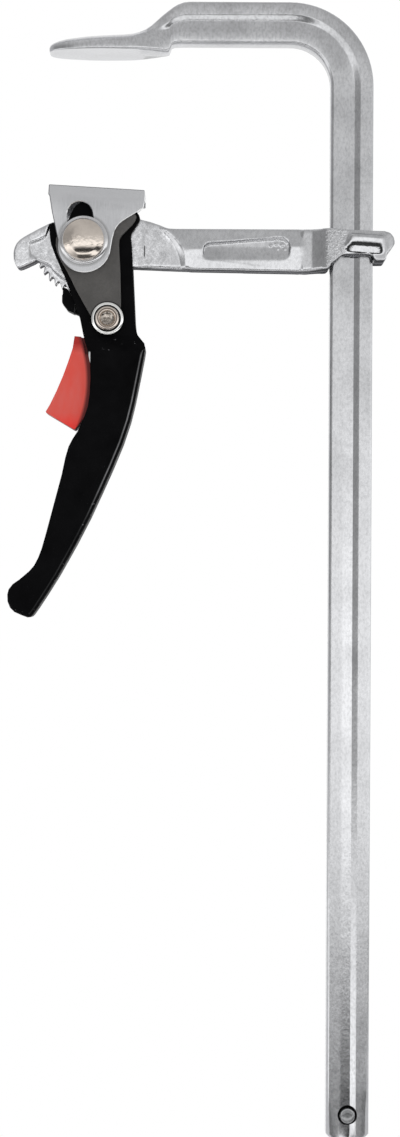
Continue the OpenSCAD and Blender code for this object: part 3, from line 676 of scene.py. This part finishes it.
def plate_pressing():
    """Two flanges with a slot each under one flat top. It is drawn level and stands tilted, as it rests."""
    lean = radians(3.24)
    slot_lean = 12  # degrees

    def tilted(points):
        return [(u * cos(lean) + w * sin(lean), w * cos(lean) - u * sin(lean)) for u, w in points]

    flange = ([(-19.4, 27.4), (-19.4, 22.2), (-18.8, 21.7), (-17.1, 13.8)] + arc((0.4, -2.7), 13.6, 172, 348, 24)
              + [(14.6, 2.4), (15.4, 5.6), (16.2, 7.6), (17.6, 9.6), (19.3, 11.2), (21.4, 12.7), (26.3, 16.1),
                 (27.9, 17.4), (29, 17.9), (29.5, 18.9), (29.7, 22), (29.5, 27.4)])
    slot = []
    for up, start in ((13.5, 0), (-5.2, 180)):
        centre = (-up * sin(radians(slot_lean)), up * cos(radians(slot_lean)))
        slot += arc(centre, 6.5, start + slot_lean, start + slot_lean + 180, 16)
    piece = drawn("pressure_plate_pressing", tilted(flange), -12.4, 12.4)
    cut(piece, drawn("between", tilted([(-30, 24.6), (40, 24.6), (40, -30), (-30, -30)]), -9.9, 9.9))
    rear_corner = [(15.6, 9.6), (20, 14.6), (25, 18.6), (28.4, 21.6), (40, 22), (40, 5)]
    cut(piece, drawn("rear_corner", tilted(rear_corner), 9, 20))
    return cut(piece, drawn("slot", tilted(slot), *THROUGH))


# Section of the rib beside the eye: distance from the middle plane and height, in millimetres, and how far it
# stands out from one end to the other
RIB = [(9, 4.2), (11.2, 4.2), (12.2, 3.9), (12.8, 3.4), (13.0, 2.8), (12.97, 2.2), (12.88, 1.2), (12.76, 0.3),
       (12.68, -0.2), (12.53, -0.8), (12.37, -1.4), (12.22, -2.0), (11.85, -3.1), (11.45, -4.3), (11.05, -5.5),
       (10.6, -6.1), (9, -6.1)]
RIB_ENDS = [(0, 0), (0.03, 0.4), (0.08, 0.75), (0.15, 0.93), (0.25, 1), (0.75, 1), (0.88, 0.94), (0.95, 0.7),
            (0.985, 0.35), (1, 0)]
WALL = 10.6  # half width over the eye's walls, where the rib begins


def eye_rib(way):
    """The bulge along one wall of the eye: slanted at the bar's inner edge, and leaning down towards the tail."""
    rings = []
    for along, bulge in RIB_ENDS:
        ring = []
        for y, z in RIB:
            start = 131 + (z + 6) * 0.42
            x = start + (153.4 - start) * along
            ring.append((x, way * (min(y, WALL) + max(0, y - WALL) * bulge), z - (x - 142) * 0.07))
        rings.append(ring)
    return lofted("eye_rib", rings)


# Outlines on the arm from the pivot, in millimetres: the milled head and hook, the raised rim of the hook, the
# pocket in each side of the web, and the eye
HEAD = [(48, -13.4), (48, 7.2), (43.3, 7.4), (41.6, 7.9), (38.7, 9.1), (33.6, 10.8), (28.7, 12), (25.5, 13.2),
        (20, 14), (0, 14.6), (-5, 14.2), (-10, 13), (-17.4, 10), (-23.7, 6.8), (-29.9, 3.4), (-33, 1.4), (-34.8, -0.6),
        (-35.9, -3), (-36.4, -5.6), (-36.2, -9.1), (-35.2, -11.6), (-34.4, -12.9), (-33.2, -13.4), (-31.8, -13),
        (-29.3, -11.9), (-25.5, -10.1), (-24.4, -9.3), (-18, -12), (-10, -12.4), (25, -12.4)]
RIM = HEAD[12:27] + [(-25.4, -7.8), (-26.8, -7.4), (-27.8, -6.2), (-28.1, -4.2), (-28, -0.6), (-25.8, 0.2),
                     (-22.7, 1.3), (-20, 2.9), (-19.3, 5.2), (-18.2, 8.3)]
POCKET = [(61.2, -4.2), (61.6, -2.2), (62.8, -1), (64.4, -0.5), (100, 2.1), (102.6, 1.6), (104.4, 0), (105.1, -2.4),
          (104.8, -5), (103.4, -7.2), (100.6, -8.3), (65, -8.3), (62.6, -7.6), (61.4, -6.2)]
EYE = [(111.6, 7.2), (125, 7.2), (132, 6.5), (153.6, 5.7), (156.4, 5), (158.3, 3.2), (159.1, 0.8), (158.8, -0.6),
       (155.6, -4.9), (154.6, -6.4), (154.2, -8.6), (153.4, -9.2), (149.2, -9.3), (148.3, -8.4), (147.9, -7.2),
       (145.4, -6.2), (133, -6.2), (131.4, -6.8), (126.4, -10.8), (125.6, -12.4), (124.4, -13.4), (114.4, -14.6),
       (111.6, -14.6)]
# Bumps on the pocket's floor: place from the pivot and radius, in millimetres
CAST_BUMPS = [(95.5, -1.2, 0.5), (98.4, -0.4, 0.6), (99.3, -3, 0.5), (101.4, -0.9, 0.7), (101, -4.4, 0.5),
              (102.9, -3, 0.6), (97, -3.6, 0.45)]
ROOT, TIP = 23.6, 26.4  # radii of the ratchet's teeth


def ratchet_rim():
    """Nine saw teeth round the pivot, one every nine degrees."""
    teeth = [(0, 0)]
    for k in range(9):
        steep = 209 + 9 * k
        corners = ((ROOT, steep - 7.5), (TIP, steep - 1), (TIP, steep), (ROOT, steep))
        teeth += [(r * cos(radians(t)), r * sin(radians(t))) for r, t in corners]
    return teeth + arc((0, 0), ROOT, 284, 287, 1)


def arm_forging():
    """Web, milled head with its hook and ratchet, and the eye, all under one forged skin."""
    def section(x, low, ridge):
        half = [(6.1, low), (7, ridge), (5.85, 5.9), (5.6, 7.2)]
        return [(x, y, z) for y, z in half] + [(x, -y, z) for y, z in reversed(half)]

    web = lofted("web", [section(24, -12.7, -3.9), section(48, -13.6, -3.5), section(113, -14.6, -1.6)])
    head = drawn("head", HEAD, -5, 5)
    hub = drawn("hub", [(0, 0)] + arc((0, 0), 21.3, 200, 290, 24), -5, 5)
    teeth = drawn("teeth", ratchet_rim(), -3.5, 3.5)
    for part in (head, hub, teeth):
        drilled(part, PIVOT, PIVOT_BORE)
    curve = [(111, 6.4), (112.2, 6.95)] + [(114.4 + 1.2 * k, 9 - 2 * cos(pi * k / 10)) for k in range(11)]
    plan = curve + arc((153.5, 5.4), 5.6, 90, 0, 6)
    eye = drawn("eye", EYE, -14, 14)
    cut(eye, drawn("plan", plan + [(x, -y) for x, y in reversed(plan)], -20, 12, "z"), "INTERSECT")
    cut(eye, drawn("bar_way", [(125.7, -30), (148.3, -30), (148.3, 30), (125.7, 30)], -5.55, 5.55))
    parts = [head, hub, teeth, eye, drawn("rim", RIM, -5.8, 5.8)]
    slope = [(26.4, 2)]
    for way, near_y, far_y, steps in ((-1, -9, -7, ((), slope)), (1, 7, 9, (slope, ()))):
        cut(web, turned("cutter", at_pivot(23.4, -14.6), 29.4, near_y, far_y, *steps))
        cut(web, drawn("inner", [(10, -20), (34, -20), (34, 12), (10, 12)], *sorted((way * 4.9, way * 9))))
        mouth = [(x + (x - 83) * 0.03, way * 7.6, z + (z + 3.2) * (0.4 if z > -3.2 else 0.15)) for x, z in POCKET]
        cut(web, lofted("pocket", [[(x, way * 5.1, z) for x, z in POCKET], mouth]))
        ridges = [(way * y, z) for y, z in ((4, -2.8), (5.2, -2.8), (5.6, -5), (6.5, -8.4), (4, -8.4))]
        parts.append(drawn("pocket_floor", ridges, 61.8, 104, "x"))
        parts.append(eye_rib(way))
        for x, z, size in CAST_BUMPS:
            place = at_pivot(x, z) + Vector((0, way * 5.2 * MM, 0))
            bpy.ops.mesh.primitive_ico_sphere_add(subdivisions=2, radius=size * MM, location=place)
            parts.append(bpy.context.object)
            bpy.ops.object.transform_apply(location=True, rotation=False, scale=False)
    piece = joined(web, parts)
    piece.name = "sliding_arm_forging"
    remeshed(piece, grain=0.00042, passes=4)
    brushed_smooth(piece, (110, 5, -20), (122, 12, 9), 20)
    brushed_smooth(piece, (30, 4.5, -14), (54, 8, 6), 20)
    brushed_smooth(piece, (-40, 4.2, -14), (-14, 7.5, 13), 5)
    return piece


def trigger_moulding():
    """Wedge under the finger, with a narrow tongue that runs up between the lever's sides."""
    wedge = ([(-4.7, -48.3), (-5.6, -54.4), (-8.1, -62), (-10.5, -68.6), (-13.7, -76.2), (-17.1, -83.3), (-18.7, -86)]
             + arc((-18.3, -87), 0.9, 165, 245, 3) + arc((-4.6, -95.2), 0.9, 245, 330, 3)
             + [(2, -88), (7.5, -84), (8.6, -74), (8.6, -64), (5, -58.2), (0.9, -57.4), (0.2, -54), (-0.9, -50),
                (-1.2, -48.6)])
    body = drawn("trigger_moulding", wedge, -7.3, 7.3)
    strip = [(-4.2, -48.4), (-1.6, -48.7), (4.4, -49.4), (7.6, -56), (7.6, -70), (-4, -70), (-4.6, -58)]
    tongue = drawn("trigger_tongue", strip, -4.85, 4.85)
    softened(body, 0.9 * MM, angle=28)
    softened(tongue, 0.5 * MM, angle=28)
    return body, tongue


# ---------------------------------------------------------------- rail

BEND_CENTRE, BEND_RADIUS = Vector((0.099, 0, -0.0165)), 21
STOP_PIN = Vector((BAR_MIDDLE, 0, PIN_HEIGHT))
WIDTH, HALF, ROUND = 22, 5.25, 2  # the bar's width, half its thickness and the radius of its corners

# One broad face of the bar: width from the inner edge and depth below the face, in millimetres
GROOVE = [(4.0, 0), (6.0, 0), (6.4, 0.05), (8.2, 0.46), (10, 0.88), (11.2, 1.15), (11.9, 1.27), (12.2, 1.28),
          (12.4, 1.22), (13.4, 0.81), (14.4, 0.40), (15.25, 0.05), (15.4, 0.01), (15.55, 0), (18, 0)]
CORNER = [radians(18 * k) for k in range(6)]  # a quarter turn in five steps

# Neck and pad from the bar to the tip, in millimetres: place along x, underside, half width of the underside,
# height and half width of the side, crown, and how much the section is still that of the bar
NECK = [(47.6, 4.5, 3.2, 6.5, 5.25, 26.5, 1), (44.6, 4.5, 3.2, 6.4, 5.25, 26.2, 1),
        (41.5, 4.4, 3.1, 6.2, 5.25, 25.1, 1), (39.4, 4.2, 2.8, 6.0, 5.25, 23.9, 0.98),
        (38.2, 3.6, 2.2, 5.8, 5.25, 23.0, 0.95),
        (37.5, 1.6, 1.2, 5.2, 5.25, 22.5, 0.92), (36.9, 0.3, 1.2, 4.6, 5.3, 22.1, 0.88),
        (35.4, 0.0, 3.6, 4.0, 5.6, 21.0, 0.8), (33.2, 0.0, 5.9, 3.6, 6.6, 19.3, 0.68),
        (30.6, 0.0, 7.9, 3.1, 8.2, 17.0, 0.52), (28.0, 0.0, 9.3, 2.8, 9.6, 14.7, 0.36),
        (25.0, 0.0, 10.6, 2.6, 10.9, 12.6, 0.22), (21.5, 0.0, 11.8, 2.4, 12.1, 11.0, 0.1),
        (18.0, 0.0, 12.6, 2.3, 12.9, 10.0, 0.03), (14.0, 0.0, 13.1, 2.2, 13.4, 9.5, 0),
        (8.0, 0.0, 13.4, 2.2, 13.7, 9.2, 0), (2.0, 0.0, 13.5, 2.1, 13.8, 8.8, 0), (-5.0, 0.0, 13.0, 2.0, 13.3, 8.3, 0),
        (-11.0, 0.0, 11.8, 1.9, 12.1, 7.6, 0), (-15.5, 0.0, 10.9, 1.9, 11.2, 7.0, 0),
        (-19.0, 0.0, 9.6, 1.9, 9.9, 6.2, 0), (-21.5, 0.0, 8.1, 1.9, 8.4, 5.4, 0), (-23.1, 0.0, 6.5, 1.9, 6.8, 4.6, 0),
        (-24.1, 0.1, 4.9, 1.8, 5.2, 3.9, 0), (-24.45, 0.5, 3.6, 1.7, 3.9, 3.1, 0)]


def mirrored(half):
    """A closed ring from its front half, whose first and last corners lie on the mid-plane."""
    return half + [(-y, v) for y, v in reversed(half[1:-1])]


def bar_ring(groove=1.0):
    """Corners of the bar's section: thickness and width from the inner edge, in millimetres."""
    lower = [(ROUND - HALF - ROUND * sin(a), ROUND - ROUND * cos(a)) for a in CORNER]
    upper = [(ROUND - HALF - ROUND * cos(a), WIDTH - ROUND + ROUND * sin(a)) for a in CORNER]
    return mirrored([(0, 0)] + lower + [(depth * groove - HALF, v) for v, depth in GROOVE] + upper + [(0, WIDTH)])


def forged_ring(low, low_w, side, side_w, crown, barlike):
    """Section of the neck or the pad: flat below, a crowned back above, and the bar's own form mixed in."""
    flank = ((0, 0), (0.45, 0.11), (0.9, 0.22), (0.95, 0.45), (1, 0.65), (1, 0.8))
    lower = [(-low_w - (side_w - low_w) * out, low + (side - low) * up) for out, up in flank]
    count = len(GROOVE) + len(CORNER)
    back = []
    for k in range(count):
        a = pi / 2 * (k + 1) / (count + 1)
        back.append((-side_w * cos(a) ** 0.9, side * 0.8 + (crown - side * 0.8) * sin(a) ** 0.95))
    smooth = [(0, low)] + lower + back + [(0, crown)]
    square = []
    for y, v in bar_ring(min(1, barlike * 1.25))[:len(smooth)]:
        square.append((y * (1 + (side_w / HALF - 1) * (1 - v / WIDTH)), low + (crown - low) * v / WIDTH))
    return mirrored([(a[0] + (b[0] - a[0]) * barlike, a[1] + (b[1] - a[1]) * barlike) for a, b in zip(smooth, square)])


def rail_forging():
    """The bar is drawn from its free end, round the bend and into the neck and the crowned pad. Its hole for the
    stop pin is widened on both faces."""
    def standing(ring, z, inset=0):
        return [Vector((BAR_INNER + (inset + v * (WIDTH - 2 * inset) / WIDTH) * MM, y * MM, z)) for y, v in ring]

    flat = bar_ring()
    bevel, bend_steps, neck_low = 1.9, 20, 4.5
    rings = [standing(flat, BAR_END, bevel), standing(flat, BAR_END + bevel * MM)]
    rings += [standing(flat, z * MM) for z in (-530, -470, -400, -330, -260, -190, -130, -80, -45, -26)]
    for k in range(bend_steps + 1):
        turn = pi / 2 * k / bend_steps
        out = Vector((cos(turn), 0, sin(turn)))
        fade = 1 - 0.7 * sin(2 * turn) ** 1.5 if 0 < k < bend_steps else 1
        rings.append([BEND_CENTRE + out * (BEND_RADIUS + v) * MM + Vector((0, y * MM, 0)) for y, v in bar_ring(fade)])
    for x in (90, 76, 62, 53):
        rings.append([Vector((x, y, neck_low + v)) * MM for y, v in flat])
    for x, *shape in NECK:
        rings.append([Vector((x, y, z)) * MM for y, z in forged_ring(*shape)])
    piece = skinned("rail_forging", rings)
    near, far = THROUGH
    for radius, near_y, far_y in ((3.9, near, far), (4.95, near, -3.5), (4.95, 3.5, far)):
        cut(piece, turned("drill", STOP_PIN, radius, near_y, far_y, sides=64))
    bpy.ops.object.shade_smooth_by_angle(angle=radians(38))
    return piece


# ---------------------------------------------------------------- studio

def studio_air():
    """Soft light from all round: brightest low in front and to the lower left, dimmer high up."""
    world = bpy.data.worlds.new("studio_air")
    bpy.context.scene.world = world
    world.use_nodes = True
    tree = world.node_tree
    air = tree.nodes["Background"]
    toward = add(tree, "ShaderNodeTexCoord").outputs["Generated"]
    ahead = maths(tree, "MULTIPLY", part_of(tree, toward, "Y"), -1.0)
    side = maths(tree, "ARCTAN2", part_of(tree, toward, "X"), ahead)
    height = maths(tree, "ARCSINE", part_of(tree, toward, "Z"))
    up = spread(tree, height, 0, 1, -pi / 2, pi / 2)
    to_left = spread(tree, side, 0, 1, radians(-24), radians(-31))
    to_back = spread(tree, ahead, 0, 1, 0.15, -0.25)
    beside = both(tree, spread(tree, side, 0, 1, radians(48), radians(66)),
                  spread(tree, side, 1, 0, radians(112), radians(130)))
    tone = blend(tree, to_left, grey_ramp(tree, up, FRONT_RIGHT), grey_ramp(tree, up, FRONT_LEFT))
    tone = blend(tree, to_back, tone, (0.42, 0.42, 0.43))
    tone = blend(tree, beside, tone, grey_ramp(tree, up, RIGHT))
    tree.links.new(tone, air.inputs["Color"])
    air.inputs["Strength"].default_value = 1.45


# Brightness of the air by height in degrees, as a share of its strongest
FRONT_RIGHT = [(-90, 0.3), (-54, 0.06), (-41, 0.06), (-37, 0.95), (-27, 1.0), (-24, 0.05), (-15.5, 0.02), (-14.6, 0.07),
               (-12.7, 0.2), (-10.1, 0.54), (-8.3, 0.88), (-6.5, 1), (-0.8, 1), (1.8, 0.86), (4.5, 0.72), (7.2, 0.6),
               (12.6, 0.46), (34, 0.40), (52, 0.42), (66, 0.40), (90, 0.3)]
RIGHT = [(-90, 0.5), (-70, 1.0), (-30, 1.0), (-18, 0.3), (-13, 0.15), (-9, 0.6), (-5, 0.9), (4, 0.8), (12, 0.5),
         (30, 0.42), (90, 0.42)]
FRONT_LEFT = [(-90, 0.3), (-38, 0.3), (-24, 0.75), (-14, 1.0), (-9, 0.8), (-4, 0.34), (4, 0.25), (20, 0.27), (50, 0.42),
              (90, 0.55)]


def grey_ramp(tree, value, stops):
    return ramp(tree, value, [((height + 90) / 180, level(tone)) for height, tone in stops])


def plane(name, size, place):
    bpy.ops.object.select_all(action="DESELECT")
    bpy.ops.mesh.primitive_plane_add(size=1, location=place)
    piece = bpy.context.object
    piece.name = name
    piece.scale = size
    bpy.ops.object.transform_apply(location=True, rotation=False, scale=True)
    return piece


def matt(name, colour):
    material = bpy.data.materials.new(name)
    material.use_nodes = True
    shader = material.node_tree.nodes["Principled BSDF"]
    shader.inputs["Base Color"].default_value = (*colour, 1)
    shader.inputs["Roughness"].default_value = 0.9
    return material, material.node_tree, shader


def mixed(tree, factor, first, second):
    node = add(tree, "ShaderNodeMixShader")
    for socket, source in zip(node.inputs, (factor, first, second)):
        tree.links.new(source, socket)
    return node.outputs[0]


def lit_backdrop():
    """White to the camera and in mirrors, matt to all other light, and clear from behind."""
    material, tree, shader = matt("lit_backdrop", level(0.9))
    rays = add(tree, "ShaderNodeLightPath")
    seen = maths(tree, "MAXIMUM", rays.outputs["Is Camera Ray"], rays.outputs["Is Glossy Ray"])
    seen = maths(tree, "MAXIMUM", seen, rays.outputs["Is Transmission Ray"])
    lit = mixed(tree, seen, shader.outputs[0], add(tree, "ShaderNodeEmission").outputs[0])
    behind = add(tree, "ShaderNodeNewGeometry").outputs["Backfacing"]
    one_way = mixed(tree, behind, lit, add(tree, "ShaderNodeBsdfTransparent").outputs[0])
    tree.links.new(one_way, tree.nodes["Material Output"].inputs["Surface"])
    return material


def studio():
    scene = bpy.context.scene
    scene.view_settings.view_transform = "Standard"
    studio_air()

    floor = plane("studio_floor", (2.6, 1.1, 1), (0, 0.05, -0.75))
    floor.data.materials.append(matt("pale_paper", (0.92, 0.92, 0.925))[0])

    backdrop = plane("studio_backdrop", (2.6, 0.2, 1), (0, 0.7, -0.75))
    for edge in backdrop.data.edges:
        edge.select = min(backdrop.data.vertices[v].co.y for v in edge.vertices) > 0.75
    only(backdrop)
    edit("EDGE")
    bpy.ops.mesh.spin(steps=16, angle=radians(-90), center=(0, 0.8, 0.05), axis=(1, 0, 0))
    bpy.ops.mesh.extrude_region_move(TRANSFORM_OT_translate={"value": (0, 0, 3)})
    leave_edit()
    for face in backdrop.data.polygons:
        face.select = face.normal.dot(Vector((0, 0, 0.6)) - face.center) < 0
    edit("FACE")
    bpy.ops.mesh.flip_normals()
    leave_edit()
    bpy.ops.object.shade_smooth()
    backdrop.data.materials.append(lit_backdrop())

    data = bpy.data.lights.new("top_lamp", "AREA")
    data.shape = "SQUARE"
    data.size = 1.2
    data.energy = 14
    lamp = bpy.data.objects.new("top_lamp", data)
    lamp.location = (-0.5, -0.9, 1.5)
    lamp.rotation_euler = (Vector((0.05, 0, -0.25)) - lamp.location).to_track_quat("-Z", "Y").to_euler()
    lamp.visible_glossy = False
    scene.collection.objects.link(lamp)


# ---------------------------------------------------------------- the clamp

camera()
studio()

pin_zinc = fitting_zinc("bright_zinc_fittings")
stop_zinc = satin_zinc("dull_zinc_pin", tint=(0.36, 0.365, 0.37), rough=(0.22, 0.32))
black = black_coat("baked_black_coat")
red = red_plastic("red_trigger_plastic")
grey = grey_cheek("dark_grey_cheek_steel")
nickel = bright_rivet("warm_nickel")

stands_for(rail_forging(), "rail", "rail", rolled_rail("satin_zinc_rail"))
pin_end = [(4.25, -2.7), (4.25, 0.3), (4.1, 0.55), (3.7, 0.62), (3.4, 0.4), (3.0, 0.2), (1.6, 0.12), (0.1, 0.14)]
pin = turned("stop_pin_head", STOP_PIN, 3.8, -6.2, 6.2, pin_end, pin_end)
stands_for(pin, "stop_pin", "rail", stop_zinc)

stands_for(arm_forging(), "sliding_arm", "arm", forged_arm("satin_zinc_arm"))
plate = softened(plate_pressing(), 0.85 * MM, segments=1, angle=40, smooth=30)
stands_for(plate, "pressure_plate", "plate", brushed_plate("brushed_zinc_plate"))

lever = softened(lever_pressing(), 0.35 * MM, segments=2, angle=40)
stands_for(lever, "lever_handle", "lever", black)
for piece in trigger_moulding():
    stands_for(piece, "release_trigger", "pawl", red)
stands_for(refined("pawl", "pawl_forging", 0.4 * MM), "pawl", "pawl", black)

# Ends of the turned parts as steps inward: radius, and height above the flat end, in millimetres
PIVOT_WASHER = [(12.15, 0.30), (11.25, 0.63), (11.05, 0.68), (10.95, 0.5), (10.9, -0.2)]
RIVET_WASHER = [(7.85, 0.2), (7.2, 0.42), (6.95, 0.4), (6.75, -0.3)]
DOME = [(10.33, 0.2), (10.2, 0.3), (9.4, 0.716), (8.6, 1.133), (7.75, 1.575), (7.4, 1.69), (7, 1.82), (6.5, 1.962),
        (6, 2.093), (5.5, 2.213), (5, 2.323), (4, 2.512), (3, 2.658), (2, 2.763), (1, 2.826), (0.1, 2.847)]
DIMPLE = [(5.75, 0.35), (5.2, 0.5), (4.3, 0.45), (3.9, 0.1), (3.6, -0.5), (3.2, -0.85), (2.2, -1.05), (0.1, -1.1)]

for way, side in ((-1, "front"), (1, "rear")):
    def on_side(near, far):
        return sorted((way * near, way * far))

    def steps(outer):
        return (outer, ()) if way < 0 else ((), outer)

    cheek = softened(cheek_plate(f"{side}_cheek_plate", *on_side(7.4, 9.6)), 0.45 * MM, segments=2)
    stands_for(cheek, f"{side}_cheek", "lever", grey)
    disc = turned(f"{side}_pivot_washer_disc", PIVOT, 12.4, *on_side(12.6, 13.06), *steps(PIVOT_WASHER))
    drilled(disc, PIVOT, PIVOT_BORE)
    stands_for(disc, f"{side}_pivot_washer", "arm", pin_zinc)
    disc = turned(f"{side}_rivet_washer_disc", PAWL_RIVET, 8.15, *on_side(9.6, 10.4), *steps(RIVET_WASHER))
    drilled(disc, PAWL_RIVET, PAWL_BORE)
    stands_for(disc, f"{side}_rivet_washer", "lever", pin_zinc)

rivet = turned("pivot_rivet_set", PIVOT, 10.45, -15.55, 15.55, DOME, DOME)
stands_for(waisted(rivet, PIVOT, 12.9, 5), "pivot_rivet", "arm", nickel)
small = turned("pawl_rivet_set", PAWL_RIVET, 6.05, -12.1, 12.1, DIMPLE, DIMPLE)
stands_for(waisted(small, PAWL_RIVET, 10.15, 4), "pawl_rivet", "lever", nickel)

for node in ("front_slot_bush", "rear_slot_bush", "front_pawl_spacer", "rear_pawl_spacer", "trigger_pin",
             "pawl_spring"):
    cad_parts[node].data.materials.clear()
    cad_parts[node].data.materials.append(pin_zinc)
